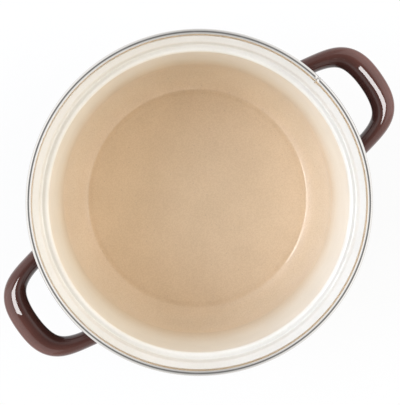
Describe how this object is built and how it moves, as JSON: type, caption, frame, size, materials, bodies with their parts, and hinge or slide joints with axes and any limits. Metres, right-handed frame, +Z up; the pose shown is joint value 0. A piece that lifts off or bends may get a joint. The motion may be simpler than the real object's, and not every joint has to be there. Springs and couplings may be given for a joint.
{
  "type": "enamel cooking pot",
  "caption": "Open enamelled-steel cooking pot with a flared pouring lip under a stainless band, a lid seat, a ringed floor and hollow loop handles.",
  "frame": {"origin": "middle of the base, on the surface that the pot stands on", "axes": "+Z up out of the mouth; +X towards the handle that is upper right in the picture; the other handle lies along -X"},
  "size_m": [0.3046, 0.2304, 0.1312],
  "materials": {
    "sheet_steel": "bare drawing-quality sheet steel, hidden under enamel",
    "cream_enamel": "glossy cream vitreous enamel with fine darker grain",
    "brown_enamel": "glossy dark chocolate-brown vitreous enamel",
    "base_enamel": "satin black ground-coat enamel",
    "stainless": "polished stainless strip"
  },
  "bodies": {
    "root": {"vessel_shell": "sheet_steel", "interior_enamel": "cream_enamel", "exterior_enamel": "brown_enamel", "base_enamel": "base_enamel", "rim_band": "stainless", "handle_right_shell": "sheet_steel", "handle_right_enamel": "brown_enamel", "handle_left_shell": "sheet_steel", "handle_left_enamel": "brown_enamel"}
  },
  "joints": []
}
